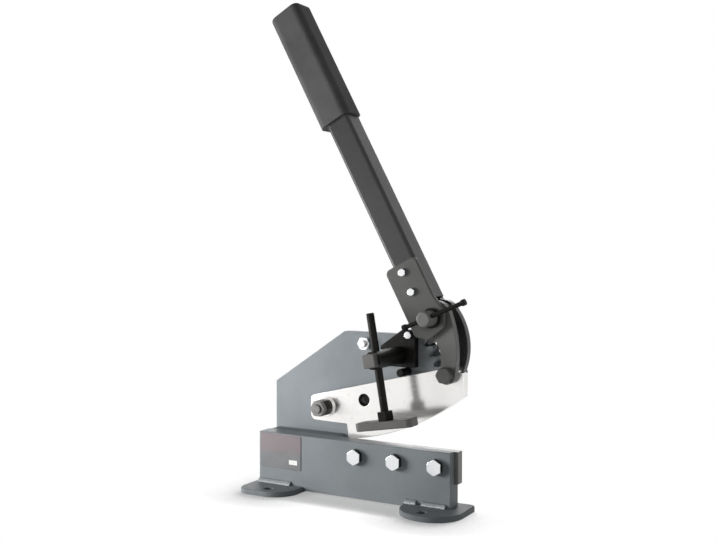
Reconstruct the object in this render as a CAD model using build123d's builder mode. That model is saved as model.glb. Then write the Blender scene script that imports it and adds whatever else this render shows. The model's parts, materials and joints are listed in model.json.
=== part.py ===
"""Bench lever shear: a fixed lower blade, a pivoting upper blade and a geared hand lever, with a hold-down.

Millimetres, X to the right (mouth side), Y to the back, Z up. The origin is on the floor, midway between
the two front mounting holes. Cuts are made in the plane between the two blades.
"""

import os
from math import acos, asin, atan2, cos, degrees, hypot, pi, radians, sin, tan

from build123d import *

# Feet
foot_spacing = 198
foot_thickness = 6
foot_hole_r = 5.5
foot_nose = 14
foot_rear_r = 6
foot_gap = 0.5
left_foot_width = 67
left_foot_overhang = 5
left_foot_length = 126
left_foot_front_r = (14, 30)
left_foot_rear_inset = 10
right_foot_width = 72
right_foot_length = 69
right_foot_front_r = (34, 34)
right_foot_overhang = 18
weld_leg = 4.5
left_weld = (0, 45)
right_welds = ((5, 33), (40, 53.5))

# Front plate and lower blade
hole_to_plate = 26
plate_length = 250
plate_left_overhang = 31
plate_thickness = 20
plate_top = 66
plate_bottom = 2
lower_blade_length = 143
lower_blade_height = 35
lower_blade_thickness = 10
lower_blade_overhang = 5
blade_bolt_count = 3
blade_bolt_pitch = 50
blade_bolt_inset = 22
blade_bolt_drop = 16.5

# Upper blade, measured from its pivot
pivot_from_plate_end = 80.5
pivot_rise = 33
shear_gap = 0.2
upper_blade_thickness = 12
blade_eye_r = 16.5
blade_tail = 20.3
blade_tail_r = 7
blade_reach = 175.5
tip_rise = 25
blade_end_height = 26
shoulder_inset = 31
shoulder_rise = 52.5
heel_run = 32
heel_overlap = 1.5
heel_height = 17
cutting_edge_bow = 10.6
bar_hole_run = 52
bar_hole_rise = 12
bar_hole_r = 7.2
die_r = 12

# Lever gearing: the sector on the lever rolls on the teeth of the back plate
gear_module = 4
sector_teeth = 18
rack_to_arm_nut = 7
rack_teeth_cut = 7
pressure_angle = radians(20)
addendum = 3.2
dedendum = 4.4
backlash = 0.4
hinge_direction = radians(37.5)

# Arms that carry the lever hinge
arm_bolt_inset = 16.5
arm_bolt_rise = 49
arm_eye_r = 19
arm_end_r = 10.5
front_arm_bulge = 19.3
rear_arm_bulge = 23.6
arm_inner_bulge = 2
side_gap = 0.4
plate_gap = 0.3

# Lever
lever_lean = radians(28)
lever_offset = 5
tube_side = 30
tube_wall = 3
tube_corner_r = 4
tube_start = 20.5
tube_end = 398
grip_start = 255
grip_end = 407
grip_width = 42
grip_depth = 37
grip_shift = 2.5
grip_corner_r = 9
grip_end_r = 4
strap_thickness = 6
sector_thickness = 10
strap_left = 28
strap_right = 13
sector_right = 3
sector_hub_r = 13
strap_top = 70
strap_foot = 20
strap_corner_r = 6
lever_bolt_shift = 3
lever_bolt_places = (35.5, 59.5)

# Back plate
back_plate_thickness = 12
back_plate_overhang = 4
back_plate_left_height = 121.5
back_plate_height = 187
back_plate_corner_run = 98
throat_run = 101
throat_height = 80
throat_corner_r = 12
horn_inset = 58.5
plate_bolt_left = 47.5
plate_bolt_height = 174
spacer_length = 94
spacer_drop = 1

# Hold-down
bar_inset = 55.5
bar_r = 10
spindle_r = 7
rod_reach = 19
rod_r = 4.4
rod_lean = radians(9.8)
rod_above = 51.5
rod_below = 73
bar_nose = 11
foot_bottom = 75
hold_foot_length = 70
hold_foot_width = 22
hold_foot_thickness = 9
hold_foot_corner_r = 6
foot_nut_flats = 16.5
foot_nut_height = 9.5
bracket_thickness = 8.5
bracket_left = 24
bracket_right = 20.5
bracket_below = 13.3
bracket_above = 29.3
bracket_slope_rise = 20
bracket_slope_run = 28
bracket_bolt_place = (12.4, 23.3)
clamp_head = 15
clamp_head_height = 8
clamp_r = 4
stop_pin_inset = 48
bracket_over_pin = 0.88
stop_pin_r = 4.5

# Fasteners and bearings: radius of the shank, across flats, head height, nut height
blade_bolt_r = 5
blade_bolt_flats = 16
blade_bolt_head = 6.4
pivot_r = 8
pivot_thread_r = 5
pivot_head_flats = 24
pivot_head = 10
pivot_nut_flats = 17
pivot_nut_height = 10
pivot_lock_nut_height = 6
pivot_washer_r = 12
pivot_washer_thickness = 2.5
pivot_bush_r = 10
stud_end = 2
arm_bolt_r = 5
arm_bolt_flats = 16
arm_bolt_head = 7
arm_washer_r = 8.6
arm_washer_thickness = 1.5
arm_nut_height = 8.4
dowel_r = 1.5
dowel_offset = 7.3
hinge_r = 7
hinge_bush_r = 9
hinge_collar_r = 12
hinge_head_r = 11
hinge_head = 5
lock_thread_r = 5
lock_nut_r = 8.5
lock_nut_length = 19
lock_thread_length = 10
lock_washer_r = 11
lock_washer_thickness = 2
tommy_r = 2.5
tommy_length = 80
tommy_shift = 11
tommy_angle = radians(23)
tommy_from_nose = 5.5
tommy_knob_r = 3.5
tommy_knob_length = 5
tommy_knob_round = 0.7
lever_bolt_r = 2.5
lever_bolt_flats = 8
lever_bolt_head = 3.5
lever_nut_height = 4
frame_bolt_r = 5
frame_bolt_flats = 16
frame_bolt_head = 7
frame_bolt_bite = 15
frame_bolt_places = ((18, 36), (46, 36), (76, 36))
plate_nut_flats = 14
plate_nut_height = 7
plate_bolt_r = 4
plate_bolt_head = 5.5
bracket_bolt_r = 2.5
bracket_bolt_flats = 8
bracket_bolt_head = 3.5
bracket_bolt_bite = 9
bar_nut_flats = 22
bar_nut_height = 11
bar_washer_r = 14
bar_washer_thickness = 2.5
bolt_clearance = 0.3
seat_fit = 0.02
running_fit = 0.06
head_chamfer = 0.8
edge_break = 0.8

# Depths, from the front
plate_front = hole_to_plate
plate_rear = plate_front + plate_thickness
lower_blade_front = plate_rear - lower_blade_thickness
blade_front = plate_rear + shear_gap
blade_rear = blade_front + upper_blade_thickness
arm_thickness = (tube_side - upper_blade_thickness) / 2 - side_gap
front_arm_front = blade_front - arm_thickness
rear_arm_rear = blade_rear + arm_thickness
strap_rear = front_arm_front - side_gap
strap_front = strap_rear - strap_thickness
sector_front = rear_arm_rear + side_gap
sector_rear = sector_front + sector_thickness
back_front = rear_arm_rear + plate_gap
back_rear = back_front + back_plate_thickness
tube_depth = (strap_rear + sector_front) / 2

# Places seen from the front, as (X, Z)
plate_left = -foot_spacing / 2 - plate_left_overhang
plate_right = plate_left + plate_length
pivot = (plate_left + pivot_from_plate_end, plate_top + pivot_rise)
lower_blade_right = plate_right + lower_blade_overhang
lower_blade_left = lower_blade_right - lower_blade_length
blade_bolt_places = [
    (lower_blade_right - blade_bolt_inset - i * blade_bolt_pitch, plate_top - blade_bolt_drop)
    for i in range(blade_bolt_count)
]
sector_r = gear_module * sector_teeth / 2
arm_nut_corner = arm_bolt_flats / 2 / cos(pi / 6)
arm_bolt_from_pivot = hypot(blade_reach - arm_bolt_inset, arm_bolt_rise)
rack_tip_r = arm_bolt_from_pivot - arm_nut_corner - rack_to_arm_nut
rack_teeth = int(2 * (rack_tip_r - addendum) / gear_module)
rack_r = gear_module * rack_teeth / 2
hinge = (
    pivot[0] + (rack_r + sector_r) * cos(hinge_direction),
    pivot[1] + (rack_r + sector_r) * sin(hinge_direction),
)
arm_bolt = (pivot[0] + blade_reach - arm_bolt_inset, pivot[1] + arm_bolt_rise)
bar_hole = (pivot[0] + bar_hole_run, pivot[1] + bar_hole_rise)
rod_y = plate_front - rod_reach
bar_front = rod_y - bar_nose
frame_bolts_at = [(plate_left + x, z) for x, z in frame_bolt_places]
closing_angle = atan2(tip_rise, blade_reach) + asin((pivot_rise + 4) / hypot(blade_reach, tip_rise))

# The top edge of the upper blade, a straight line that touches the pivot eye
shoulder_run = blade_reach - shoulder_inset
top_slope = atan2(shoulder_rise, shoulder_run) - asin(blade_eye_r / hypot(shoulder_run, shoulder_rise))
top_start = (pivot[0] - blade_eye_r * sin(top_slope), pivot[1] + blade_eye_r * cos(top_slope))
shoulder = (pivot[0] + shoulder_run, pivot[1] + shoulder_rise)
stop_pin_x = pivot[0] + rack_r - stop_pin_inset
stop_pin = (
    stop_pin_x,
    top_start[1]
    + (stop_pin_x - top_start[0]) * tan(top_slope)
    + (stop_pin_r + bolt_clearance) / cos(top_slope),
)
bracket_bottom = stop_pin[1] + stop_pin_r + bracket_over_pin
bar_axis = (pivot[0] + rack_r - bar_inset, bracket_bottom + bracket_below)
plate_bolt = (bar_axis[0] - plate_bolt_left, plate_bolt_height)
bracket_bolt_at = (bar_axis[0] + bracket_bolt_place[0], bar_axis[1] + bracket_bolt_place[1])


def seen_from_front(depth):
    """Plane at a depth, with X to the right and Z up, facing the front."""
    return Plane.XZ.offset(-depth)


def lever_plane(depth):
    """Like seen_from_front, centred on the hinge and leaning with the lever."""
    return Plane((hinge[0], depth, hinge[1]), x_dir=(cos(lever_lean), 0, sin(lever_lean)), z_dir=(0, -1, 0))


def rod_plane(along, depth=rod_y):
    """Plane square to the hold-down rod, at a distance along it from the bar."""
    axis = (-sin(rod_lean), 0, cos(rod_lean))
    centre = (bar_axis[0] + along * axis[0], depth, bar_axis[1] + along * axis[2])
    return Plane(centre, x_dir=(cos(rod_lean), 0, sin(rod_lean)), z_dir=axis)


def drill(places, radius, front, rear, plane=seen_from_front):
    """Cuts round holes through the piece that is being built, between two depths."""
    with BuildSketch(plane(rear)) as holes:
        with Locations(*places):
            Circle(radius)
    extrude(holes.sketch, amount=rear - front, mode=Mode.SUBTRACT)


def rounds(places, radius, front, rear, plane=seen_from_front):
    """Adds round bars to the piece that is being built, between two depths."""
    with BuildSketch(plane(rear)) as discs:
        with Locations(*places):
            Circle(radius)
    extrude(discs.sketch, amount=rear - front)


def hexes(places, flats, front, rear, plane=seen_from_front, point_up=False):
    """Adds hexagons, with both faces turned to a chamfer, between two depths."""
    corner_r = flats / 2 / cos(pi / 6)
    with BuildPart(mode=Mode.PRIVATE) as turned:
        with BuildSketch(plane(rear)) as discs:
            with Locations(*places):
                Circle(corner_r)
        extrude(discs.sketch, amount=rear - front)
        chamfer(turned.edges().filter_by(GeomType.CIRCLE), head_chamfer)
        with BuildSketch(plane(rear)) as nuts:
            with Locations(*places):
                RegularPolygon(flats / 2, 6, major_radius=False, rotation=30 if point_up else 0)
        extrude(nuts.sketch, amount=rear - front, mode=Mode.INTERSECT)
    add(turned.part)


def bolts(places, shank_r, flats, head, seat, tip, plane=seen_from_front, point_up=False):
    """Hexagon bolts: the head stands on the seat, away from the tip of the shank."""
    outer = seat - head if tip > seat else seat + head
    with BuildPart() as made:
        hexes(places, flats, min(seat, outer), max(seat, outer), plane, point_up)
        rounds(places, shank_r, min(seat, tip), max(seat, tip), plane)
    return made


def nuts(places, flats, bore_r, front, rear, plane=seen_from_front):
    """Hexagon nuts with a plain bore."""
    with BuildPart() as made:
        hexes(places, flats, front, rear, plane)
        drill(places, bore_r, front, rear, plane)
    return made


def rings(places, outer_r, bore_r, front, rear, plane=seen_from_front):
    """Washers, bushes and collars."""
    with BuildPart() as made:
        rounds(places, outer_r, front, rear, plane)
        drill(places, bore_r, front, rear, plane)
    return made


def involute(angle):
    return tan(angle) - angle


def tooth(pitch_r, count, centre_angle):
    """One gear tooth, root to root anticlockwise, as points about the gear's centre."""
    base_r = pitch_r * cos(pressure_angle)
    root_r = pitch_r - dedendum
    start_r = max(base_r, root_r)
    tip_r = pitch_r + addendum
    half_at_pitch = pi / 2 / count - backlash / 4 / pitch_r
    radii = [root_r] * (root_r < base_r) + [start_r + (tip_r - start_r) * i / 4 for i in range(5)]
    half_at_base = half_at_pitch + involute(pressure_angle)
    halves = [half_at_base - involute(acos(base_r / max(r, base_r))) for r in radii]
    flank = list(zip(radii, halves))
    rising = [(r * cos(centre_angle - a), r * sin(centre_angle - a)) for r, a in flank]
    falling = [(r * cos(centre_angle + a), r * sin(centre_angle + a)) for r, a in reversed(flank)]
    return rising + falling


def shifted(points, centre):
    return [(x + centre[0], y + centre[1]) for x, y in points]


def on_circle(centre, radius, angle):
    return (centre[0] + radius * cos(radians(angle)), centre[1] + radius * sin(radians(angle)))


# Front plate: a bar on edge, cut back above for the lower blade and below for the feet
right_foot_left = plate_right + right_foot_overhang - right_foot_width
left_foot_left = plate_left - left_foot_overhang
foot_edges = (left_foot_left + left_foot_width + foot_gap, right_foot_left - foot_gap)
with BuildPart() as front_plate:
    with BuildSketch(seen_from_front(plate_rear)):
        with BuildLine():
            Polyline(
                (plate_left, foot_thickness),
                (foot_edges[0], foot_thickness),
                (foot_edges[0], plate_bottom),
                (foot_edges[1], plate_bottom),
                (foot_edges[1], foot_thickness),
                (plate_right, foot_thickness),
                (plate_right, plate_top),
                (plate_left, plate_top),
                close=True,
            )
        make_face()
    extrude(amount=plate_thickness)
    chamfer(front_plate.edges().group_by(Axis.Y)[0].filter_by(Axis.X).sort_by(Axis.Z)[-1], edge_break)
    with BuildSketch(seen_from_front(plate_rear)):
        with Locations((lower_blade_left, plate_top)):
            Rectangle(
                plate_right - lower_blade_left, lower_blade_height, align=(Align.MIN, Align.MAX)
            )
    extrude(amount=lower_blade_thickness, mode=Mode.SUBTRACT)
    drill(blade_bolt_places, blade_bolt_r + bolt_clearance, plate_front, lower_blade_front)
    drill(frame_bolts_at, frame_bolt_r + seat_fit, plate_rear - frame_bolt_bite, plate_rear)


# Feet: flat plates with rounded corners, welded under the frame
def foot(left, width, length, front_r, holes):
    front = -foot_nose
    with BuildPart() as made:
        with BuildSketch() as outline:
            with Locations((left, front)):
                Rectangle(width, length, align=(Align.MIN, Align.MIN))
            fillet(outline.vertices().sort_by_distance((left, front))[0], front_r[0])
            fillet(outline.vertices().sort_by_distance((left + width, front))[0], front_r[1])
            fillet(outline.vertices().group_by(Axis.Y)[-1], foot_rear_r)
            with Locations(*holes):
                Circle(foot_hole_r, mode=Mode.SUBTRACT)
        extrude(amount=foot_thickness)
        chamfer(made.faces().sort_by(Axis.Z)[-1].outer_wire().edges(), edge_break)
    return made


left_foot_hole_pitch = left_foot_length - foot_nose - left_foot_rear_inset
left_foot_holes = [(-foot_spacing / 2, 0), (-foot_spacing / 2, left_foot_hole_pitch)]
left_foot = foot(left_foot_left, left_foot_width, left_foot_length, left_foot_front_r, left_foot_holes)
right_foot_holes = [(foot_spacing / 2, 0)]
right_foot = foot(right_foot_left, right_foot_width, right_foot_length, right_foot_front_r, right_foot_holes)

# Weld seams along the front of the plate, where it stands on the feet
weld_runs = [(plate_left + left_weld[0], plate_left + left_weld[1])]
weld_runs += [(plate_right - end, plate_right - start) for start, end in right_welds]
with BuildPart() as foot_welds:
    for start, end in weld_runs:
        with BuildSketch(Plane.YZ.offset(start)) as seam:
            with BuildLine():
                low = (plate_front - weld_leg, foot_thickness)
                high = (plate_front, foot_thickness + weld_leg)
                ThreePointArc(low, (plate_front - 0.6 * weld_leg, foot_thickness + 0.6 * weld_leg), high)
                Polyline(high, (plate_front, foot_thickness), low)
            make_face()
        extrude(seam.sketch, amount=end - start)

# Spacer block between the two plates
with BuildPart() as spacer_block:
    with BuildSketch(seen_from_front(back_front)):
        with Locations((plate_left, foot_thickness)):
            Rectangle(spacer_length, plate_top - spacer_drop - foot_thickness, align=(Align.MIN, Align.MIN))
    extrude(amount=back_front - plate_rear)
    drill(frame_bolts_at, frame_bolt_r + bolt_clearance, plate_rear, back_front)

# Back plate: trapezoid with the throat cut from the right, and gear teeth round the blade pivot
rack_pitch = 2 * pi / rack_teeth
rack_points = []
for i in range(rack_teeth_cut):
    rack_points += tooth(rack_r, rack_teeth, hinge_direction + rack_pitch * (i - rack_teeth_cut + 1.5))
rack_points = shifted(rack_points, pivot)
horn_top = (
    pivot[0] + (rack_r - dedendum) * cos(hinge_direction + rack_pitch),
    pivot[1] + (rack_r - dedendum) * sin(hinge_direction + rack_pitch),
)
throat = (plate_left + throat_run, throat_height)
shroud_span = (1.25 - rack_teeth_cut, 1 - rack_teeth_cut / 2, 0.75)
shroud_ends = [degrees(hinge_direction + rack_pitch * n) for n in shroud_span]
shroud_outer = [on_circle(pivot, rack_r + addendum, a) for a in shroud_ends]
shroud_inner = [on_circle(pivot, rack_r - 2 * dedendum, a) for a in shroud_ends]
with BuildPart() as back_plate:
    with BuildSketch(seen_from_front(back_rear)) as outline:
        with BuildLine():
            Polyline(
                (plate_left - back_plate_overhang, foot_thickness),
                (throat[0], foot_thickness),
                throat,
                *rack_points,
                horn_top,
                (pivot[0] + rack_r - horn_inset, back_plate_height),
                (plate_left - back_plate_overhang + back_plate_corner_run, back_plate_height),
                (plate_left - back_plate_overhang, back_plate_left_height),
                close=True,
            )
        make_face()
        fillet(outline.vertices().sort_by_distance(throat)[0], throat_corner_r)
    extrude(amount=back_plate_thickness)
    # A thin web closes the gaps between the teeth from behind
    with BuildSketch(seen_from_front(back_rear)) as shroud:
        with BuildLine():
            ThreePointArc(*shroud_outer)
            Line(shroud_outer[2], shroud_inner[2])
            ThreePointArc(*reversed(shroud_inner))
            Line(shroud_inner[0], shroud_outer[0])
        make_face()
    extrude(shroud.sketch, amount=back_rear - sector_rear - side_gap)
    drill([pivot], pivot_r + seat_fit, back_front, back_rear)
    drill([bar_hole], die_r + seat_fit, back_front, back_rear)
    drill([stop_pin], stop_pin_r + seat_fit, back_front, back_rear)
    drill([bar_axis], spindle_r + running_fit, back_front, back_rear)
    drill([plate_bolt], plate_bolt_r + bolt_clearance, back_front, back_rear)
    drill(frame_bolts_at, frame_bolt_r + bolt_clearance, back_front, back_rear)
    drill([bracket_bolt_at], bracket_bolt_r + seat_fit, back_front, back_front + bracket_bolt_bite)

frame_bolts = bolts(
    frame_bolts_at, frame_bolt_r, frame_bolt_flats, frame_bolt_head,
    back_rear, plate_rear - frame_bolt_bite + 1,
)

# Lower blade, held from the front by three bolts
with BuildPart() as lower_blade:
    with BuildSketch(seen_from_front(plate_rear)):
        with Locations((lower_blade_left, plate_top)):
            Rectangle(lower_blade_length, lower_blade_height, align=(Align.MIN, Align.MAX))
    extrude(amount=lower_blade_thickness)
    drill(blade_bolt_places, blade_bolt_r + seat_fit, lower_blade_front, plate_rear)

lower_blade_bolts = bolts(
    blade_bolt_places, blade_bolt_r, blade_bolt_flats, blade_bolt_head,
    plate_front, plate_rear - 1, point_up=True,
)

# Upper blade: squared tail round the pivot, straight top, bowed cutting edge and a lobe for the arm bolt
heel = (pivot[0] + heel_run, plate_top - heel_overlap)
tip = (pivot[0] + blade_reach, pivot[1] + tip_rise)
edge_length = hypot(tip[0] - heel[0], tip[1] - heel[1])
edge_middle = (
    (heel[0] + tip[0]) / 2 + cutting_edge_bow * (tip[1] - heel[1]) / edge_length,
    (heel[1] + tip[1]) / 2 - cutting_edge_bow * (tip[0] - heel[0]) / edge_length,
)
tail_drop = (blade_tail - blade_eye_r * sin(top_slope)) * tan(top_slope)
tail_top = (pivot[0] - blade_tail, top_start[1] - tail_drop)
tail_bottom = (pivot[0] - blade_tail, pivot[1] - blade_eye_r)
with BuildPart() as upper_blade:
    with BuildSketch(seen_from_front(blade_rear)) as outline:
        with BuildLine():
            Polyline(tail_top, shoulder, (tip[0], tip[1] + blade_end_height), tip)
            ThreePointArc(tip, edge_middle, heel)
            Polyline(heel, (heel[0] - 3, heel[1] + heel_height), tail_bottom, tail_top)
        make_face()
        fillet(outline.vertices().sort_by_distance((tip[0], tip[1] + blade_end_height))[0], 4)
        fillet(outline.vertices().sort_by(Axis.X)[:2], blade_tail_r)
        with Locations(arm_bolt):
            Circle(arm_end_r)
    extrude(amount=upper_blade_thickness)
    drill([pivot], pivot_bush_r + seat_fit, blade_front, blade_rear)
    drill([bar_hole], bar_hole_r, blade_front, blade_rear)
    drill([arm_bolt], arm_bolt_r + bolt_clearance, blade_front, blade_rear)
    dowel_places = [
        (arm_bolt[0] + dowel_offset * cos(radians(a)), arm_bolt[1] + dowel_offset * sin(radians(a)))
        for a in (200, 340)
    ]
    drill(dowel_places, dowel_r + seat_fit, blade_front, blade_rear)

pivot_bush = rings([pivot], pivot_bush_r, pivot_r + running_fit, blade_front, blade_rear)
bar_die = rings([bar_hole], die_r, bar_hole_r, blade_rear + bolt_clearance, back_rear)

# Pivot: stepped bolt from behind, with a washer, a nut and a lock nut in front
pivot_washer_rear = blade_front - shear_gap
pivot_nut_rear = pivot_washer_rear - pivot_washer_thickness
pivot_lock_rear = pivot_nut_rear - pivot_nut_height
pivot_stud_front = pivot_lock_rear - pivot_lock_nut_height - stud_end
with BuildPart() as pivot_bolt:
    hexes([pivot], pivot_head_flats, back_rear, back_rear + pivot_head)
    rounds([pivot], pivot_r, pivot_nut_rear, back_rear)
    rounds([pivot], pivot_thread_r, pivot_stud_front, pivot_nut_rear)
    chamfer(pivot_bolt.faces().sort_by(Axis.Y)[0].edges(), head_chamfer)
pivot_collar = rings([pivot], pivot_washer_r, pivot_r + seat_fit, blade_rear + shear_gap, back_front)
pivot_washer = rings([pivot], pivot_washer_r, pivot_r + seat_fit, pivot_nut_rear, pivot_washer_rear)
pivot_nut = nuts([pivot], pivot_nut_flats, pivot_thread_r + seat_fit, pivot_lock_rear, pivot_nut_rear)
pivot_lock_nut = nuts(
    [pivot], pivot_nut_flats, pivot_thread_r + seat_fit,
    pivot_lock_rear - pivot_lock_nut_height, pivot_lock_rear,
)

# Stop pin over the top edge of the upper blade
with BuildPart() as blade_stop_pin:
    rounds([stop_pin], stop_pin_r, blade_front, back_rear)
    chamfer(blade_stop_pin.faces().sort_by(Axis.Y)[0].edges(), edge_break)


# Curved arms on both sides of the blade
arm_middle = ((hinge[0] + arm_bolt[0]) / 2, (hinge[1] + arm_bolt[1]) / 2)


def arm(front, rear, bulge):
    """A crescent from the hinge to the arm bolt, open on the left so that the teeth behind it are seen."""
    eye_right = on_circle(hinge, arm_eye_r, 25)
    eye_left = on_circle(hinge, arm_eye_r, 230)
    end_right = on_circle(arm_bolt, arm_end_r, 0)
    end_left = on_circle(arm_bolt, arm_end_r, 180)
    with BuildPart() as made:
        with BuildSketch(seen_from_front(rear)):
            with BuildLine():
                ThreePointArc(eye_right, (arm_middle[0] + bulge, arm_middle[1]), end_right)
                ThreePointArc(end_right, on_circle(arm_bolt, arm_end_r, 270), end_left)
                ThreePointArc(end_left, (arm_middle[0] - arm_inner_bulge, arm_middle[1]), eye_left)
                ThreePointArc(eye_left, on_circle(hinge, arm_eye_r, 120), eye_right)
            make_face()
        extrude(amount=rear - front)
        drill([hinge], hinge_bush_r + seat_fit, front, rear)
        drill([arm_bolt], arm_bolt_r + bolt_clearance, front, rear)
        drill(dowel_places, dowel_r + seat_fit, front, rear)
    return made


front_arm = arm(front_arm_front, blade_front, front_arm_bulge)
rear_arm = arm(blade_rear, rear_arm_rear, rear_arm_bulge)
with BuildPart() as arm_dowels:
    rounds(dowel_places, dowel_r, front_arm_front, rear_arm_rear)
arm_seat = front_arm_front - arm_washer_thickness
arm_nut_front = rear_arm_rear + arm_washer_thickness
arm_bolt_part = bolts(
    [arm_bolt], arm_bolt_r, arm_bolt_flats, arm_bolt_head,
    arm_seat, arm_nut_front + arm_nut_height + stud_end,
)
arm_nut_rear = arm_nut_front + arm_nut_height
arm_nut = nuts([arm_bolt], arm_bolt_flats, arm_bolt_r + seat_fit, arm_nut_front, arm_nut_rear)
with BuildPart() as arm_washers:
    rounds([arm_bolt], arm_washer_r, arm_seat, front_arm_front)
    rounds([arm_bolt], arm_washer_r, rear_arm_rear, arm_nut_front)
    drill([arm_bolt], arm_bolt_r + bolt_clearance, arm_seat, arm_nut_front)
with BuildPart() as arm_bushes:
    rounds([hinge], hinge_bush_r, front_arm_front, blade_front)
    rounds([hinge], hinge_bush_r, blade_rear, rear_arm_rear)
    drill([hinge], hinge_r + running_fit, front_arm_front, rear_arm_rear)
hinge_collar = rings([hinge], hinge_collar_r, hinge_r + running_fit, blade_front, blade_rear)

# Lever: front strap, toothed sector plate behind, square tube between them, and the grip
lever_bolts_at = [(-lever_offset - lever_bolt_shift, s) for s in lever_bolt_places]
with BuildPart() as front_strap:
    with BuildSketch(lever_plane(strap_rear)) as outline:
        with BuildLine():
            Polyline(
                (-strap_left, strap_top),
                (-strap_left, -strap_foot / 2),
                (-strap_left / 2, -strap_foot),
                (hinge_bush_r, -strap_foot * 0.8),
                (strap_right + 4, 0),
                (strap_right, tube_start),
                (strap_right, strap_top),
                close=True,
            )
        make_face()
        fillet(outline.vertices(), strap_corner_r)
    extrude(amount=strap_thickness)
    chamfer(front_strap.faces().sort_by(Axis.Y)[0].edges(), edge_break)
    drill([(0, 0)], hinge_r + seat_fit, strap_front, strap_rear, lever_plane)
    drill(lever_bolts_at, lever_bolt_r + bolt_clearance, strap_front, strap_rear, lever_plane)

mesh_angle = hinge_direction + pi - lever_lean
sector_pitch = 2 * pi / sector_teeth
relative_swing = closing_angle * rack_teeth / sector_teeth
sector_teeth_cut = int(relative_swing / sector_pitch) + 1
sector_points = []
for i in range(sector_teeth_cut):
    sector_points += tooth(sector_r, sector_teeth, mesh_angle + sector_pitch * i)
with BuildPart() as sector_plate:
    with BuildSketch(lever_plane(sector_rear)):
        with BuildLine():
            Polyline(
                (-strap_left, strap_top),
                (-strap_left, 3),
                *sector_points,
                (sector_hub_r, 0),
                (sector_right, tube_start),
                (sector_right, strap_top),
                close=True,
            )
        make_face()
    extrude(amount=sector_thickness)
    drill([(0, 0)], hinge_r + seat_fit, sector_front, sector_rear, lever_plane)
    drill(lever_bolts_at, lever_bolt_r + bolt_clearance, sector_front, sector_rear, lever_plane)


def across_lever(along):
    """Plane square to the lever tube, at a distance along it from the hinge."""
    right = (cos(lever_lean), sin(lever_lean))
    up = (-sin(lever_lean), cos(lever_lean))
    centre = (
        hinge[0] - lever_offset * right[0] + along * up[0],
        tube_depth,
        hinge[1] - lever_offset * right[1] + along * up[1],
    )
    return Plane(centre, x_dir=(right[0], 0, right[1]), z_dir=(up[0], 0, up[1]))


with BuildPart() as lever_tube:
    with BuildSketch(across_lever(tube_start)):
        RectangleRounded(tube_side, tube_side, tube_corner_r)
        inner_side = tube_side - 2 * tube_wall
        RectangleRounded(inner_side, inner_side, tube_corner_r - tube_wall, mode=Mode.SUBTRACT)
    extrude(amount=tube_end - tube_start)
    drill(lever_bolts_at, lever_bolt_r + bolt_clearance, strap_rear, sector_front, lever_plane)

with BuildPart() as lever_grip:
    with BuildSketch(across_lever(grip_start)):
        with Locations((-grip_shift, 0)):
            RectangleRounded(grip_width, grip_depth, grip_corner_r)
    extrude(amount=grip_end - grip_start)
    top_face = lever_grip.faces().sort_by(Axis.Z)[-1]
    fillet(top_face.edges(), grip_end_r)
    with BuildSketch(across_lever(grip_start)):
        RectangleRounded(tube_side + 2 * seat_fit, tube_side + 2 * seat_fit, tube_corner_r)
    extrude(amount=tube_end - grip_start + seat_fit, mode=Mode.SUBTRACT)

lever_bolts = bolts(
    lever_bolts_at, lever_bolt_r, lever_bolt_flats, lever_bolt_head, strap_front,
    sector_rear + lever_nut_height + stud_end, lever_plane,
)
lever_nuts = nuts(
    lever_bolts_at, lever_bolt_flats, lever_bolt_r + seat_fit,
    sector_rear, sector_rear + lever_nut_height, lever_plane,
)

# Hinge pin, with a threaded end in front for the lock nut and its sliding bar
lock_washer_front = strap_front - lock_washer_thickness
lock_nut_rear = lock_washer_front - running_fit
lock_nut_front = lock_nut_rear - lock_nut_length
tommy_y = lock_nut_front + tommy_from_nose
with BuildPart() as hinge_pin:
    rounds([hinge], hinge_head_r, sector_rear, sector_rear + hinge_head)
    chamfer(hinge_pin.faces().sort_by(Axis.Y)[-1].edges(), head_chamfer)
    rounds([hinge], hinge_r, strap_front, sector_rear)
    rounds([hinge], lock_thread_r, lock_nut_rear - lock_thread_length, strap_front)
lock_washer = rings([hinge], lock_washer_r, lock_thread_r + seat_fit, lock_washer_front, strap_front)

tommy_axis = (cos(tommy_angle), sin(tommy_angle))


def tommy_plane(along):
    """Plane square to the sliding bar, at a distance along it from the hinge."""
    centre = (hinge[0] + along * tommy_axis[0], tommy_y, hinge[1] + along * tommy_axis[1])
    return Plane(centre, x_dir=(0, 1, 0), z_dir=(tommy_axis[0], 0, tommy_axis[1]))


with BuildPart() as lock_nut:
    rounds([hinge], lock_nut_r, lock_nut_front, lock_nut_rear)
    chamfer(lock_nut.faces().sort_by(Axis.Y)[0].edges(), 2 * head_chamfer)
    lock_bore_end = lock_nut_rear - lock_thread_length - stud_end / 2
    drill([hinge], lock_thread_r + running_fit, lock_bore_end, lock_nut_rear)
    with BuildSketch(tommy_plane(-lock_nut_r)):
        Circle(tommy_r + running_fit)
    extrude(amount=2 * lock_nut_r, mode=Mode.SUBTRACT)

tommy_start = tommy_shift - tommy_length / 2
tommy_end = tommy_shift + tommy_length / 2
with BuildPart() as tommy_bar:
    with BuildSketch(tommy_plane(tommy_start + 1)):
        Circle(tommy_r)
    extrude(amount=tommy_length - 2)
with BuildPart() as tommy_knobs:
    for end, inward in ((tommy_start, 1), (tommy_end, -1)):
        with BuildSketch(tommy_plane(end)) as disc:
            Circle(tommy_knob_r)
        extrude(disc.sketch, amount=inward * tommy_knob_length)
        with BuildSketch(tommy_plane(end + inward * 1)) as socket:
            Circle(tommy_r + seat_fit)
        extrude(socket.sketch, amount=inward * tommy_knob_length, mode=Mode.SUBTRACT)
    outer_rims = tommy_knobs.edges().filter_by(GeomType.CIRCLE).filter_by(
        lambda edge: abs(edge.radius - tommy_knob_r) < 0.01
    )
    fillet(outer_rims, tommy_knob_round)

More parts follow.
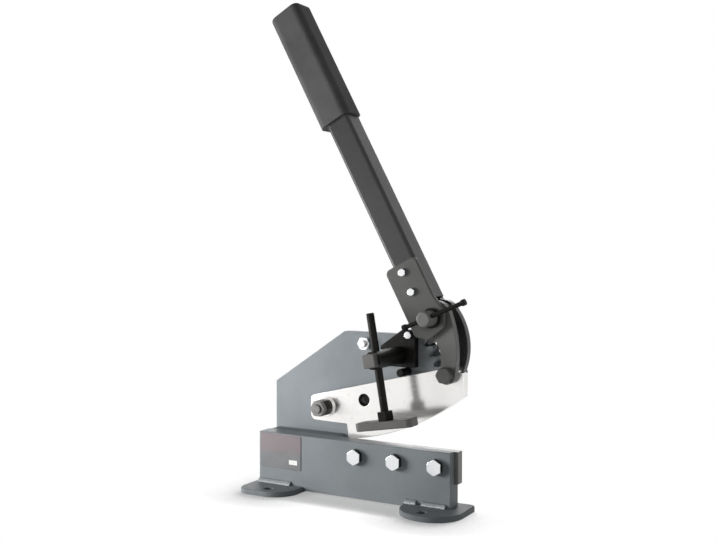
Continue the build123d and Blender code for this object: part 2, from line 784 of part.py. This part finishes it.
# Hold-down: bracket on the back plate, bar that swivels in it, and the clamped rod with its foot
bracket_front = back_front - bracket_thickness
with BuildPart() as hold_down_bracket:
    left = bar_axis[0] - bracket_left
    right = bar_axis[0] + bracket_right
    top = bar_axis[1] + bracket_above
    with BuildSketch(seen_from_front(back_front)):
        with BuildLine():
            Polyline(
                (left, bracket_bottom),
                (right, bracket_bottom),
                (right, top),
                (left + bracket_slope_run, top),
                (left, top - bracket_slope_rise),
                close=True,
            )
        make_face()
    extrude(amount=bracket_thickness)
    chamfer(hold_down_bracket.faces().sort_by(Axis.Y)[0].edges(), edge_break)
    drill([bar_axis], spindle_r + running_fit, bracket_front, back_front)
    drill([bracket_bolt_at], bracket_bolt_r + bolt_clearance, bracket_front, back_front)

bracket_bolt = bolts(
    [bracket_bolt_at], bracket_bolt_r, bracket_bolt_flats, bracket_bolt_head, bracket_front,
    back_front + bracket_bolt_bite - 1,
)

bar_nut_front = back_rear + bar_washer_thickness
with BuildPart() as hold_down_bar:
    rounds([bar_axis], bar_r, bar_front, bracket_front - bolt_clearance)
    chamfer(hold_down_bar.faces().sort_by(Axis.Y)[0].edges(), edge_break)
    rounds([bar_axis], spindle_r, bracket_front - bolt_clearance, bar_nut_front + bar_nut_height + stud_end)
    with BuildSketch(rod_plane(-bar_r)):
        Circle(rod_r + running_fit)
    extrude(amount=2 * bar_r, mode=Mode.SUBTRACT)
    drill([bar_axis], clamp_r + running_fit, bar_front, rod_y)
bar_washer = rings(
    [bar_axis], bar_washer_r, spindle_r + seat_fit, back_rear + running_fit, bar_nut_front
)
bar_nut_rear = bar_nut_front + bar_nut_height
bar_nut = nuts([bar_axis], bar_nut_flats, spindle_r + seat_fit, bar_nut_front, bar_nut_rear)

with BuildPart() as clamp_screw:
    with BuildSketch(seen_from_front(bar_front - running_fit)):
        with Locations(bar_axis):
            RectangleRounded(clamp_head, clamp_head, 2, rotation=degrees(rod_lean))
    extrude(amount=clamp_head_height)
    chamfer(clamp_screw.faces().sort_by(Axis.Y)[0].edges(), head_chamfer)
    rounds([bar_axis], clamp_r, bar_front - running_fit, rod_y - rod_r - running_fit)

foot_top = foot_bottom - hold_foot_thickness
rod_socket = rod_below - foot_top
with BuildPart() as hold_down_rod:
    with BuildSketch(rod_plane(-rod_below)):
        Circle(rod_r)
    extrude(amount=rod_below + rod_above)
    chamfer(hold_down_rod.faces().sort_by(Axis.Z)[-1].edges(), head_chamfer)
with BuildPart() as hold_down_foot:
    with BuildSketch(rod_plane(-foot_bottom)):
        RectangleRounded(hold_foot_length, hold_foot_width, hold_foot_corner_r)
    extrude(amount=hold_foot_thickness)
    chamfer(hold_down_foot.faces().sort_by(Axis.Z)[-1].edges(), edge_break)
    with BuildSketch(rod_plane(-rod_below)):
        Circle(rod_r + seat_fit)
    extrude(amount=rod_socket, mode=Mode.SUBTRACT)
with BuildPart() as foot_nut:
    with BuildSketch(rod_plane(-foot_top)):
        RegularPolygon(foot_nut_flats / 2, 6, major_radius=False)
        Circle(rod_r + seat_fit, mode=Mode.SUBTRACT)
    extrude(amount=foot_nut_height)

# Bolt through the back plate near its top, with its nut in front
plate_nut_front = back_front - plate_nut_height
plate_bolt_part = bolts(
    [plate_bolt], plate_bolt_r, plate_nut_flats, plate_bolt_head, back_rear, plate_nut_front - 2 * stud_end
)
plate_nut = nuts([plate_bolt], plate_nut_flats, plate_bolt_r + seat_fit, plate_nut_front, back_front)

pieces = {
    "front_plate": front_plate,
    "left_foot": left_foot,
    "right_foot": right_foot,
    "foot_welds": foot_welds,
    "spacer_block": spacer_block,
    "back_plate": back_plate,
    "frame_bolts": frame_bolts,
    "lower_blade": lower_blade,
    "lower_blade_bolts": lower_blade_bolts,
    "bar_die": bar_die,
    "blade_stop_pin": blade_stop_pin,
    "pivot_bolt": pivot_bolt,
    "pivot_collar": pivot_collar,
    "pivot_washer": pivot_washer,
    "pivot_nut": pivot_nut,
    "pivot_lock_nut": pivot_lock_nut,
    "hold_down_bracket": hold_down_bracket,
    "bracket_bolt": bracket_bolt,
    "plate_bolt": plate_bolt_part,
    "plate_nut": plate_nut,
    "upper_blade": upper_blade,
    "pivot_bush": pivot_bush,
    "front_arm": front_arm,
    "rear_arm": rear_arm,
    "arm_bolt": arm_bolt_part,
    "arm_washers": arm_washers,
    "arm_nut": arm_nut,
    "arm_dowels": arm_dowels,
    "arm_bushes": arm_bushes,
    "hinge_collar": hinge_collar,
    "front_strap": front_strap,
    "sector_plate": sector_plate,
    "lever_tube": lever_tube,
    "lever_grip": lever_grip,
    "lever_bolts": lever_bolts,
    "lever_nuts": lever_nuts,
    "hinge_pin": hinge_pin,
    "lock_washer": lock_washer,
    "lock_nut": lock_nut,
    "tommy_bar": tommy_bar,
    "tommy_knobs": tommy_knobs,
    "hold_down_bar": hold_down_bar,
    "bar_washer": bar_washer,
    "bar_nut": bar_nut,
    "clamp_screw": clamp_screw,
    "hold_down_rod": hold_down_rod,
    "hold_down_foot": hold_down_foot,
    "foot_nut": foot_nut,
}
os.makedirs("parts", exist_ok=True)
for name, piece in pieces.items():
    piece.part.label = name
    export_step(piece.part, f"parts/{name}.step")

print("blade pivot", pivot, "lever hinge", hinge, "hold-down bar", bar_axis)
print("blade closes by", degrees(closing_angle), "degrees, the lever turns", degrees(relative_swing), "on it")
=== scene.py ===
import json
import math

import bmesh
import bpy
from mathutils import Matrix, Vector

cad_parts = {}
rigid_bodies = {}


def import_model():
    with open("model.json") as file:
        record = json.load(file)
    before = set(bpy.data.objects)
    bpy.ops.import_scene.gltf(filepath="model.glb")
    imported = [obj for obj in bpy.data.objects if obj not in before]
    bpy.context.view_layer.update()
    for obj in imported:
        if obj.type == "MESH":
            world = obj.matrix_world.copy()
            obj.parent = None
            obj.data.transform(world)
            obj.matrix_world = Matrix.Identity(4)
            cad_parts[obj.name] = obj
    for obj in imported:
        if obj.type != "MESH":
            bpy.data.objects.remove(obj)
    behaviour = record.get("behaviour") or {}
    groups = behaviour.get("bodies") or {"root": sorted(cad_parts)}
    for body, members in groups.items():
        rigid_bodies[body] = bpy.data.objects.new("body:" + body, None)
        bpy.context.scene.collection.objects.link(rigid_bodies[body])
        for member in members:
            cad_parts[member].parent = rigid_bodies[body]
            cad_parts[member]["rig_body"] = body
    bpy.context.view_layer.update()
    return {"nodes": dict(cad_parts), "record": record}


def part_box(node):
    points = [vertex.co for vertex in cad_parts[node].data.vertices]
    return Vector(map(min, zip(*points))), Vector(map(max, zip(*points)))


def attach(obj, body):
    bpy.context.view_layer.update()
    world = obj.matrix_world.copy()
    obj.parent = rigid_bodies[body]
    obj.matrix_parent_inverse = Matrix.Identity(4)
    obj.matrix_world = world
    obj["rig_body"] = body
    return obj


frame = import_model()
nodes = frame["nodes"]


# camera: stands to the right of the front, a little above the hold-down
cameraSet = {
    "place": (0.5398, -0.8983, 0.2877), "turn": 30.0, "pitch": -1.44,
    "lens": 47.77, "sensor": 36.0, "nearest": 0.01,
}


def makeCamera(s):
    data = bpy.data.cameras.new("camera")
    data.lens = s["lens"]
    data.sensor_width = s["sensor"]
    data.sensor_fit = "HORIZONTAL"
    data.clip_start = s["nearest"]
    eye = bpy.data.objects.new("camera", data)
    eye.location = s["place"]
    eye.rotation_euler = (math.radians(90 + s["pitch"]), 0, math.radians(s["turn"]))
    bpy.context.scene.collection.objects.link(eye)
    bpy.context.scene.camera = eye


makeCamera(cameraSet)
print("camera set")


# a socket that takes part in sums; node() makes anything that isn't a sum
class Wire:
    def __init__(self, tree, socket):
        self.tree = tree
        self.socket = socket

    def node(self, kind, settings=None, inputs=None, out=0):
        made = self.tree.nodes.new("ShaderNode" + kind)
        for key, value in (settings or {}).items():
            setattr(made, key, value)
        for key, value in (inputs or {}).items():
            if isinstance(value, Wire):
                self.tree.links.new(value.socket, made.inputs[key])
            else:
                made.inputs[key].default_value = value
        return Wire(self.tree, made.outputs[out])

    def sum(self, operation, first, second):
        return self.node("Math", {"operation": operation}, {0: first, 1: second})

    def __add__(self, other):
        return self.sum("ADD", self, other)

    __radd__ = __add__

    def __sub__(self, other):
        return self.sum("SUBTRACT", self, other)

    def __rsub__(self, other):
        return self.sum("SUBTRACT", other, self)

    def __mul__(self, other):
        return self.sum("MULTIPLY", self, other)

    __rmul__ = __mul__


def startMaterial(name):
    material = bpy.data.materials.new(name)
    material.use_nodes = True
    tree = material.node_tree
    shader = tree.nodes["Principled BSDF"]
    place = tree.nodes.new("ShaderNodeTexCoord")
    return material, tree, shader, Wire(tree, place.outputs["Object"])


# in the settings below a noise is its scale, detail and roughness, a span where a mask starts and is full
noiseMiddle = 0.5
brushNoise = (1.0, 2.0, 0.5)


def noise(place, scale, detail=3.0, roughness=0.55, stretch=(1, 1, 1)):
    if stretch != (1, 1, 1):
        place = place.node("Mapping", {}, {"Vector": place, "Scale": stretch})
    return place.node(
        "TexNoise", {}, {"Vector": place, "Scale": scale, "Detail": detail, "Roughness": roughness}
    )


def swing(value, amount):
    return (value - noiseMiddle) * amount


def between(value, low, high, toLow=0.0, toHigh=1.0):
    return value.node(
        "MapRange", {"interpolation_type": "SMOOTHSTEP"},
        {"Value": value, "From Min": low, "From Max": high, "To Min": toLow, "To Max": toHigh},
    )


def within(value, span, edge):
    return between(value, span[0], span[0] + edge) * between(value, span[1], span[1] - edge)


def axisOf(place, axis):
    return place.node("SeparateXYZ", {}, {"Vector": place}, out=axis)


def mixColour(factor, first, second):
    def whole(colour):
        return colour if isinstance(colour, Wire) else (*colour, 1.0)

    return factor.node(
        "Mix", {"data_type": "RGBA"}, {0: factor, 6: whole(first), 7: whole(second)}, out=2
    )


# how far a rounded normal leaves the flat one: high along edges and corners only
edgeSet = {"samples": 6, "span": (0.995, 0.86)}


def edgeMask(place, radius):
    rounded = place.node("Bevel", {"samples": edgeSet["samples"]}, {"Radius": radius})
    flat = place.node("NewGeometry", {}, {}, out="Normal")
    together = place.node(
        "VectorMath", {"operation": "DOT_PRODUCT"}, {0: rounded, 1: flat}, out="Value"
    )
    return between(together, *edgeSet["span"]), rounded


def bumpNode(place, strength, distance, height, **more):
    return place.node(
        "Bump", {}, {"Strength": strength, "Distance": distance, "Height": height, **more}
    )


def plug(tree, shader, **links):
    for key, value in links.items():
        socket = shader.inputs[key.replace("_", " ")]
        if isinstance(value, Wire):
            tree.links.new(value.socket, socket)
        else:
            socket.default_value = value


# what the paints share; the lever and its arms have a finer peel
paintBase = {
    "cloud": (16.0, 4.0), "cloudSpan": (0.35, 0.68), "fine": (130.0, 3.0), "grimeSpan": (0.52, 0.72),
    "chips": (90.0, 5.0, 0.7), "chipSpan": (0.50, 0.62), "chipDepth": 0.6, "chipSmooth": 0.12,
    "chipMetal": 0.5, "peelNoise": (620.0, 2.0), "peel": 0.00012, "peelShare": 0.8, "fineShare": 0.2,
    "bump": 0.55, "edge": 0.0013, "wear": 0.5, "grime": 0.25, "metal": 0.0, "gloss": 0.14,
    "rough": 0.50, "roughSpread": 0.14, "fineRough": 0.10,
}
darkBase = {**paintBase, "peelNoise": (760.0, 2.0), "peel": 0.00014, "wear": 0.45, "grime": 0.2}
paintSets = {
    "frame_paint": {
        **paintBase, "colour": (0.300, 0.326, 0.342), "shade": (0.262, 0.287, 0.302),
        "chip": (0.42, 0.42, 0.42),
    },
    # lighter copy of the frame paint for the back plate: painted light, as the back plate is more lit
    # than the front plate
    "lit_frame_paint": {
        **paintBase, "colour": (0.322, 0.350, 0.368), "shade": (0.285, 0.312, 0.328),
        "chip": (0.44, 0.44, 0.44),
    },
    # darker copy of the frame paint for the feet: painted shade on their up-facing tops
    "foot_paint": {
        **paintBase, "colour": (0.225, 0.243, 0.256), "shade": (0.190, 0.207, 0.220),
        "chip": (0.36, 0.36, 0.36), "rough": 0.56, "grime": 0.3,
    },
    # lighter and glossier than the frame paint: painted highlight on the weld beads, which catch the
    # light
    "weld_paint": {
        **paintBase, "colour": (0.40, 0.42, 0.435), "shade": (0.32, 0.338, 0.352),
        "chip": (0.5, 0.5, 0.49), "gloss": 0.4, "rough": 0.40, "peel": 0.0004, "wear": 0.3,
        "grime": 0.35, "metal": 0.5, "ripple": 3900.0, "rippleStray": 2.0,
    },
    "lever_paint": {
        **darkBase, "colour": (0.041, 0.041, 0.041), "shade": (0.031, 0.031, 0.032),
        "chip": (0.22, 0.22, 0.215), "gloss": 0.38, "rough": 0.36,
    },
    "arm_paint": {
        **darkBase, "colour": (0.122, 0.122, 0.117), "shade": (0.100, 0.100, 0.096),
        "chip": (0.26, 0.26, 0.255), "gloss": 0.3, "rough": 0.44,
    },
    # lighter copy of the arm paint for the front arm and lock nut: painted light against the shade that
    # falls on the arm
    "lit_arm_paint": {
        **darkBase, "colour": (0.215, 0.215, 0.209), "shade": (0.180, 0.180, 0.174),
        "chip": (0.30, 0.30, 0.295), "gloss": 0.3, "rough": 0.44,
    },
}


def paintMaterial(name, s):
    material, tree, shader, place = startMaterial(name)
    cloud = noise(place, *s["cloud"])
    fine = noise(place, *s["fine"])
    edge, rounded = edgeMask(place, s["edge"])
    chipped = edge * between(noise(place, *s["chips"]), *s["chipSpan"]) * s["wear"]
    coat = mixColour(between(cloud, *s["cloudSpan"]), s["colour"], s["shade"])
    dusty = mixColour(between(fine, *s["grimeSpan"]) * s["grime"], coat, s["shade"])
    worn = mixColour(chipped, dusty, s["chip"])
    peel = noise(place, *s["peelNoise"])
    height = peel * s["peelShare"] + fine * s["fineShare"] - chipped * s["chipDepth"]
    # the beads of a weld seam
    if "ripple" in s:
        along = axisOf(place, "X") * s["ripple"]
        height = height + along.node("Math", {"operation": "SINE"}, {0: along + fine * s["rippleStray"]})
    bump = bumpNode(place, s["bump"], s["peel"], height, Normal=rounded)
    rough = s["rough"] + swing(cloud, s["roughSpread"]) + swing(fine, s["fineRough"])
    smooth = rough - chipped * s["chipSmooth"]
    metal = chipped * s["chipMetal"] + s["metal"]
    plug(tree, shader, Base_Color=worn, Roughness=smooth, Normal=bump, Metallic=metal)
    plug(tree, shader, Specular_IOR_Level=s["gloss"])
    return material


# what the bare and blackened steels share
steelBase = {
    "cloud": (24.0, 4.0), "cloudSpan": (0.36, 0.66), "spots": (210.0, 4.0, 0.65),
    "stainSpan": (0.58, 0.74), "stainShare": 0.25, "rubSpan": (0.42, 0.6), "rubShare": 0.4,
    "lines": (300.0, 300.0, 300.0), "lineDepth": 0.00003, "lineRough": 0.10, "bump": 0.5,
    "edge": 0.0009, "metal": 0.3, "gloss": 0.5, "rough": 0.46, "roughSpread": 0.18,
}
zincSet = {
    **steelBase, "colour": (0.75, 0.76, 0.77), "shade": (0.63, 0.64, 0.66),
    "stain": (0.50, 0.49, 0.46), "stainShare": 0.3, "rub": (0.86, 0.87, 0.88),
    "rough": 0.26, "roughSpread": 0.16, "metal": 1.0, "lines": (260.0, 260.0, 260.0),
    "lineDepth": 0.00002,
}
steelSets = {
    "blade_steel": {
        **steelBase, "colour": (0.91, 0.897, 0.88), "shade": (0.86, 0.847, 0.83),
        "stain": (0.55, 0.53, 0.50), "rub": (0.92, 0.91, 0.89), "rough": 0.175, "roughSpread": 0.08,
        "metal": 0.80, "lines": (5.0, 900.0, 900.0),
        # painted shade: the wall of the round-bar bore is drawn dark
        "bore": {
            "centre": (0.0025, 0, 0.111), "radius": 0.0073, "soft": 0.0001,
            "colour": (0.05, 0.048, 0.046),
        },
    },
    "zinc": zincSet,
    "dull_steel": {
        **steelBase, "colour": (0.190, 0.186, 0.180), "shade": (0.140, 0.136, 0.132),
        "stain": (0.30, 0.295, 0.285), "rub": (0.30, 0.295, 0.285), "roughSpread": 0.16, "metal": 0.4,
    },
    "black_oxide": {
        **steelBase, "colour": (0.013, 0.012, 0.011), "shade": (0.008, 0.0072, 0.0066),
        "stain": (0.16, 0.155, 0.15), "stainShare": 0.2, "rub": (0.13, 0.126, 0.122), "gloss": 0.12,
    },
    "worn_oxide": {
        **steelBase, "colour": (0.112, 0.109, 0.106), "shade": (0.090, 0.087, 0.084),
        "stain": (0.20, 0.195, 0.19), "rub": (0.24, 0.235, 0.23),
    },
    "bush": {
        **steelBase, "colour": (0.55, 0.40, 0.18), "shade": (0.42, 0.29, 0.12),
        "stain": (0.28, 0.19, 0.09), "stainShare": 0.3, "rub": (0.55, 0.40, 0.18),
        "rough": 0.34, "roughSpread": 0.15, "metal": 1.0,
    },
    "bolt_zinc": {
        **zincSet,
        # painted shade on the side faces of the blade bolt heads
        "side": {
            "node": "lower_blade_bolts", "from": 0.0006, "to": 0.0012, "colour": (0.10, 0.10, 0.102),
        },
    },
}


# inside a bore along Y: the bore wall is drawn near-black, painted shade in the hole
def boreShadeMask(place, s):
    way = place.node("VectorMath", {"operation": "SUBTRACT"}, {0: place, 1: s["centre"]})
    flat = place.node("VectorMath", {"operation": "MULTIPLY"}, {0: way, 1: (1, 0, 1)})
    away = place.node("VectorMath", {"operation": "LENGTH"}, {0: flat}, out="Value")
    return between(away, s["radius"] + s["soft"], s["radius"])


# behind the bright front faces of the blade bolts: the sides of their heads are drawn dark, painted shade
def sideShadeMask(place, s):
    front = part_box(s["node"])[0].y
    return between(axisOf(place, "Y"), front + s["from"], front + s["to"])


def steelMaterial(name, s):
    material, tree, shader, place = startMaterial(name)
    cloud = noise(place, *s["cloud"])
    lines = noise(place, *brushNoise, s["lines"])
    spots = noise(place, *s["spots"])
    edge, rounded = edgeMask(place, s["edge"])
    tint = mixColour(between(cloud, *s["cloudSpan"]), s["colour"], s["shade"])
    stained = mixColour(between(spots, *s["stainSpan"]) * s["stainShare"], tint, s["stain"])
    rubbed = edge * between(spots, *s["rubSpan"]) * s["rubShare"]
    bright = mixColour(rubbed, stained, s["rub"])
    # painted shade inside the bore
    if "bore" in s:
        bright = mixColour(boreShadeMask(place, s["bore"]), bright, s["bore"]["colour"])
    # painted shade on the bolt heads' sides
    if "side" in s:
        bright = mixColour(sideShadeMask(place, s["side"]), bright, s["side"]["colour"])
    bump = bumpNode(place, s["bump"], s["lineDepth"], lines, Normal=rounded)
    rough = s["rough"] + swing(cloud, s["roughSpread"]) + swing(lines, s["lineRough"])
    metal = between(rubbed, 0.0, 1.0, s["metal"], 1.0)
    plug(tree, shader, Base_Color=bright, Roughness=rough, Normal=bump, Metallic=metal)
    plug(tree, shader, Specular_IOR_Level=s["gloss"])
    return material


gripSet = {
    "colour": (0.125, 0.125, 0.124), "shade": (0.100, 0.100, 0.099), "rub": (0.172, 0.172, 0.170),
    "cloud": (20.0, 3.0), "cloudSpan": (0.35, 0.68), "pores": (700.0, 3.0, 0.6), "poreDepth": 0.00022,
    "scuffs": (120.0, 5.0, 0.7), "scuffSpan": (0.60, 0.76), "scuffShare": 0.3, "scuffSmooth": 0.10,
    "edge": 0.0015, "edgeShare": 0.25, "bump": 0.6, "gloss": 0.2, "rough": 0.66, "roughSpread": 0.12,
}


def gripMaterial(name, s):
    material, tree, shader, place = startMaterial(name)
    cloud = noise(place, *s["cloud"])
    pores = noise(place, *s["pores"])
    scuff = between(noise(place, *s["scuffs"]), *s["scuffSpan"])
    edge, rounded = edgeMask(place, s["edge"])
    base = mixColour(between(cloud, *s["cloudSpan"]), s["colour"], s["shade"])
    rubbed = mixColour(scuff * s["scuffShare"] + edge * s["edgeShare"], base, s["rub"])
    bump = bumpNode(place, s["bump"], s["poreDepth"], pores, Normal=rounded)
    rough = s["rough"] + swing(cloud, s["roughSpread"]) - scuff * s["scuffSmooth"]
    plug(tree, shader, Base_Color=rubbed, Roughness=rough, Normal=bump)
    plug(tree, shader, Specular_IOR_Level=s["gloss"])
    return material


# bare plate on the left end of the front plate; low and high are its corners in X and Z
labelSet = {
    "low": (-0.1285, 0.0240), "high": (-0.0708, 0.0645), "thick": 0.0006,
    "round": 0.0025, "roundSteps": 6, "rim": 0.3, "rimSteps": 2, "frontShare": 0.9,
    "colour": (0.168, 0.172, 0.176), "shade": (0.146, 0.150, 0.154),
    "cloud": (60.0, 4.0), "cloudSpan": (0.34, 0.68), "rough": 0.5, "roughSpread": 0.2, "metal": 0.35,
    "lines": (60.0, 60.0, 1500.0), "lineDepth": 0.00003, "bump": 0.4,
    "band": (0.180, 0.154, 0.160), "bandSpan": (0.0415, 0.0455), "bandFade": (0.2, 0.5, 0.55, 1.0),
    "field": (0.72, 0.72, 0.71), "fieldAcross": (-0.0877, -0.0758), "fieldUp": (0.0302, 0.0360),
    "fieldEdge": 0.0004,
}


def labelMaterial(name, s):
    material, tree, shader, place = startMaterial(name)
    cloud = noise(place, *s["cloud"])
    lines = noise(place, *brushNoise, s["lines"])
    plain = mixColour(between(cloud, *s["cloudSpan"]), s["colour"], s["shade"])
    height = axisOf(place, "Z")
    band = between(height, *s["bandSpan"]) * between(cloud, *s["bandFade"])
    across = within(axisOf(place, "X"), s["fieldAcross"], s["fieldEdge"])
    field = across * within(height, s["fieldUp"], s["fieldEdge"])
    base = mixColour(field, mixColour(band, plain, s["band"]), s["field"])
    bump = bumpNode(place, s["bump"], s["lineDepth"], lines)
    rough = s["rough"] + swing(cloud, s["roughSpread"])
    plug(tree, shader, Base_Color=base, Roughness=rough, Normal=bump, Metallic=s["metal"])
    return material


materials = {name: paintMaterial(name, s) for name, s in paintSets.items()}
materials.update({name: steelMaterial(name, s) for name, s in steelSets.items()})
materials["grip"] = gripMaterial("grip", gripSet)
materials["label_plate"] = labelMaterial("label_plate", labelSet)

slotOf = {entry["node"]: entry["material_slot"] for entry in frame["record"]["subparts"]}
# pieces whose material differs from their slot: some a real finish, the back plate, front arm, lock nut
# and blade bolts painted light or shade
finishOrPaintedLight = {
    "hold_down_foot": "worn_oxide", "clamp_screw": "worn_oxide", "pivot_nut": "black_oxide",
    "front_arm": "lit_arm_paint", "lock_nut": "lit_arm_paint", "back_plate": "lit_frame_paint",
    "lower_blade_bolts": "bolt_zinc",
}
for name, piece in nodes.items():
    piece.data.materials.clear()
    piece.data.materials.append(materials[finishOrPaintedLight.get(name, slotOf[name])])
print("materials made:", len(materials))


# points nearer than this are one
seamGap = 1e-6


def finishPiece(name, bm, body, material):
    bmesh.ops.remove_doubles(bm, verts=bm.verts, dist=seamGap)
    bmesh.ops.recalc_face_normals(bm, faces=bm.faces)
    mesh = bpy.data.meshes.new(name)
    bm.to_mesh(mesh)
    bm.free()
    piece = bpy.data.objects.new(name, mesh)
    bpy.context.scene.collection.objects.link(piece)
    mesh.materials.append(material)
    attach(piece, body)


def roundEdges(bm, edges, offset, segments):
    bmesh.ops.bevel(
        bm, geom=edges, offset=offset, offset_type="OFFSET", segments=segments, profile=0.5,
        affect="EDGES", material=-1,
    )


def makeLabelPlate(s):
    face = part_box("front_plate")[0].y
    thick = s["thick"]
    bm = bmesh.new()
    bmesh.ops.create_cube(bm, size=1.0)
    width, height = s["high"][0] - s["low"][0], s["high"][1] - s["low"][1]
    bmesh.ops.scale(bm, verts=bm.verts, vec=(width, thick, height))
    centre = ((s["low"][0] + s["high"][0]) / 2, face - thick / 2, (s["low"][1] + s["high"][1]) / 2)
    bmesh.ops.translate(bm, verts=bm.verts, vec=centre)
    corners = [e for e in bm.edges if abs(e.verts[0].co.y - e.verts[1].co.y) > thick / 2]
    roundEdges(bm, corners, s["round"], s["roundSteps"])
    front = face - thick * s["frontShare"]
    rim = [e for e in bm.edges if all(v.co.y < front for v in e.verts)]
    roundEdges(bm, rim, thick * s["rim"], s["rimSteps"])
    finishPiece("label_plate", bm, "frame", materials["label_plate"])


makeLabelPlate(labelSet)


# turned threads on the bare ends of bolts and studs, along Y; each ring closes inside its bolt
threadSet = {
    "round": 28, "pitch": 0.0009, "crest": 0.00022, "root": 0.00002, "sunk": 0.0003, "start": 0.00015,
}
threadEnds = {
    "pivot_thread": {"node": "pivot_bolt", "end": "front", "length": 0.0019, "radius": 0.005},
    "plate_bolt_thread": {"node": "plate_bolt", "end": "front", "length": 0.0039, "radius": 0.004},
    "arm_bolt_thread": {"node": "arm_bolt", "end": "rear", "length": 0.0019, "radius": 0.005},
    "spindle_thread": {"node": "hold_down_bar", "end": "rear", "length": 0.0019, "radius": 0.007},
}


def makeThread(name, s, t):
    low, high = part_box(s["node"])
    x, z = (low.x + high.x) / 2, (low.z + high.z) / 2
    end, way = (low.y, 1) if s["end"] == "front" else (high.y, -1)
    inner = s["radius"] - t["sunk"]
    bm = bmesh.new()
    bmesh.ops.create_circle(bm, segments=t["round"], radius=inner)
    bmesh.ops.rotate(bm, verts=bm.verts, matrix=Matrix.Rotation(math.pi / 2, 3, "X"))
    bmesh.ops.translate(bm, verts=bm.verts, vec=(x, end + way * t["start"], z))
    first = list(bm.edges)
    edges = first
    turns = int(s["length"] / t["pitch"] * 2)
    # out to the root, crest and root in turn, and back into the bolt
    for i in range(turns + 2):
        grown = bmesh.ops.extrude_edge_only(bm, edges=edges)["geom"]
        ring = [g for g in grown if isinstance(g, bmesh.types.BMVert)]
        loop = set(ring)
        edges = [g for g in grown if isinstance(g, bmesh.types.BMEdge) and loop.issuperset(g.verts)]
        wide = s["radius"] + (t["crest"] if i % 2 == 1 else t["root"])
        if i == turns + 1:
            wide = inner
        now = math.hypot(ring[0].co.x - x, ring[0].co.z - z)
        step = t["pitch"] / 2 if 0 < i <= turns else 0.0
        bmesh.ops.translate(bm, verts=ring, vec=(0, way * step, 0))
        bmesh.ops.scale(
            bm, verts=ring, vec=(wide / now, 1, wide / now), space=Matrix.Translation((-x, 0, -z))
        )
    bmesh.ops.bridge_loops(bm, edges=first + edges)
    slot = slotOf[s["node"]]
    finishPiece(name, bm, nodes[s["node"]]["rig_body"], materials[slot])


for name, s in threadEnds.items():
    makeThread(name, s, threadSet)
print("pieces added:", 1 + len(threadEnds))


# floor, background and lamps; the studio is bright all round and dim overhead
stageSet = {
    "size": 6.0, "floor": (0.62, 0.62, 0.62), "rough": 0.9,
    "around": 0.15, "overhead": 0.03, "heightSpan": (0.05, 0.75),
    "lean": (0.0, 1.0, -1.84), "looks": 16, "reach": 0.045, "openSpan": (0.86, 0.99), "glow": 0.28,
}
lampSets = {
    "key": {"place": (-0.66, -0.42, 0.15), "size": 0.40, "power": 7.8},
    "rear": {"place": (-0.7, 1.6, 0.4), "size": 1.2, "power": 16.0},
    "side": {"place": (0.75, 0.15, 0.06), "size": 0.25, "power": 0.58},
    "fill": {"place": (0.75, -0.85, 0.45), "size": 0.6, "power": 0.6},
}
lampAim = (0, 0.05, 0.2)
white = (1, 1, 1, 1)


# 1 for what the camera meets at once, in a reflection or through a piece
def seenShare(tree):
    path = tree.nodes.new("ShaderNodeLightPath")
    direct = Wire(tree, path.outputs["Is Camera Ray"])
    glossy = Wire(tree, path.outputs["Is Glossy Ray"])
    through = Wire(tree, path.outputs["Is Transmission Ray"])
    clamped = {"operation": "ADD", "use_clamp": True}
    return direct.node("Math", clamped, {0: direct + glossy, 1: through})


# 1 where nothing stands near, low in the shadow of a piece; lean turns the look towards the rear
def openShare(start, s):
    upward = start.node("NewGeometry", {}, {}, out="Normal")
    leaning = start.node("VectorMath", {"operation": "ADD"}, {0: upward, 1: s["lean"]})
    toward = start.node("VectorMath", {"operation": "NORMALIZE"}, {0: leaning})
    near = start.node(
        "AmbientOcclusion", {"samples": s["looks"]}, {"Distance": s["reach"], "Normal": toward}, out="AO"
    )
    return between(near, *s["openSpan"], s["glow"], 1.0)


def makeFloor(s):
    bm = bmesh.new()
    bmesh.ops.create_grid(bm, x_segments=1, y_segments=1, size=s["size"] / 2)
    mesh = bpy.data.meshes.new("floor")
    bm.to_mesh(mesh)
    bm.free()
    floor = bpy.data.objects.new("floor", mesh)
    bpy.context.scene.collection.objects.link(floor)
    material = bpy.data.materials.new("floor")
    material.use_nodes = True
    tree = material.node_tree
    shader = tree.nodes["Principled BSDF"]
    plug(tree, shader, Base_Color=(*s["floor"], 1), Roughness=s["rough"])
    seen = seenShare(tree)
    glow = seen.node("Emission", {}, {"Color": white, "Strength": 1.0})
    share = seen * openShare(seen, s)
    mixed = seen.node("MixShader", {}, {0: share, 1: Wire(tree, shader.outputs[0]), 2: glow})
    tree.links.new(mixed.socket, tree.nodes["Material Output"].inputs["Surface"])
    mesh.materials.append(material)


def makeWorld(s):
    world = bpy.data.worlds.new("studio")
    bpy.context.scene.world = world
    world.use_nodes = True
    tree = world.node_tree
    lit = tree.nodes["Background"]
    way = Wire(tree, tree.nodes.new("ShaderNodeTexCoord").outputs["Generated"])
    strength = between(axisOf(way, "Z"), *s["heightSpan"], s["around"], s["overhead"])
    plug(tree, lit, Color=white, Strength=strength)
    plain = way.node("Background", {}, {"Color": white, "Strength": 1.0})
    mixed = way.node("MixShader", {}, {0: seenShare(tree), 1: Wire(tree, lit.outputs[0]), 2: plain})
    tree.links.new(mixed.socket, tree.nodes["World Output"].inputs["Surface"])


def makeLamp(name, s):
    data = bpy.data.lights.new(name, "AREA")
    data.size = s["size"]
    data.energy = s["power"]
    lamp = bpy.data.objects.new(name, data)
    lamp.location = s["place"]
    aim = Vector(lampAim) - Vector(s["place"])
    lamp.rotation_euler = aim.to_track_quat("-Z", "Y").to_euler()
    bpy.context.scene.collection.objects.link(lamp)


makeFloor(stageSet)
makeWorld(stageSet)
for name, s in lampSets.items():
    makeLamp(name, s)
bpy.context.scene.view_settings.view_transform = "Standard"
print("stage lit with", len(lampSets), "lamps")
